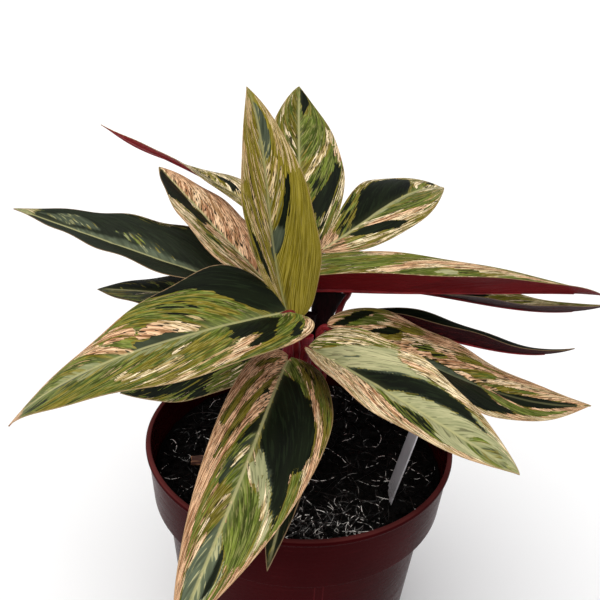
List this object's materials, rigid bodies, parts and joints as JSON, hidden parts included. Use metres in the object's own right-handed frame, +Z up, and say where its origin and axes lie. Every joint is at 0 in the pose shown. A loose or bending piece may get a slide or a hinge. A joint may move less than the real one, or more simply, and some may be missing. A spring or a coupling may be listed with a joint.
{
  "type": "potted prayer plant",
  "caption": "Young variegated prayer plant with cream, pink and green leaves on sheathed maroon stems, standing in a filled round plastic nursery pot with a blank tag.",
  "frame": {"origin": "middle of the pot's flat underside, where it stands on a surface", "axes": "+Z up along the pot's axis, -Y towards the plant's front, +X to the right of someone who looks at the front"},
  "size_m": [0.2581, 0.2139, 0.226],
  "materials": {
    "pot_plastic": "glossy dark maroon injection moulded plastic with faint mould lines",
    "potting_soil": "damp dark peat and coir with pale fibres and a chip of bark",
    "leaf": "satin leaf, streaked dark green, olive, cream and pink above and maroon below",
    "sheath": "satin maroon leaf sheaths with fine lengthwise ribs",
    "tag_plastic": "plain pale grey strip, blank on both sides"
  },
  "bodies": {
    "root": {"pot": "pot_plastic", "soil": "potting_soil", "plant_tag": "tag_plastic", "shoot_front": "sheath", "shoot_right": "sheath", "shoot_left": "sheath", "shoot_back": "sheath", "leaf_front_left": "leaf", "leaf_tall_centre": "leaf", "leaf_tall_back": "leaf", "leaf_spoon_right": "leaf", "leaf_folded_right": "leaf", "leaf_under_right": "leaf", "leaf_narrow_right": "leaf", "leaf_pink_right": "leaf", "leaf_cream_right": "leaf", "leaf_front_hanging": "leaf", "leaf_low_left": "leaf", "leaf_long_left": "leaf", "leaf_pink_left": "leaf", "leaf_twisted_left": "leaf", "leaf_small_left": "leaf", "leaf_small_front": "leaf"}
  },
  "joints": []
}
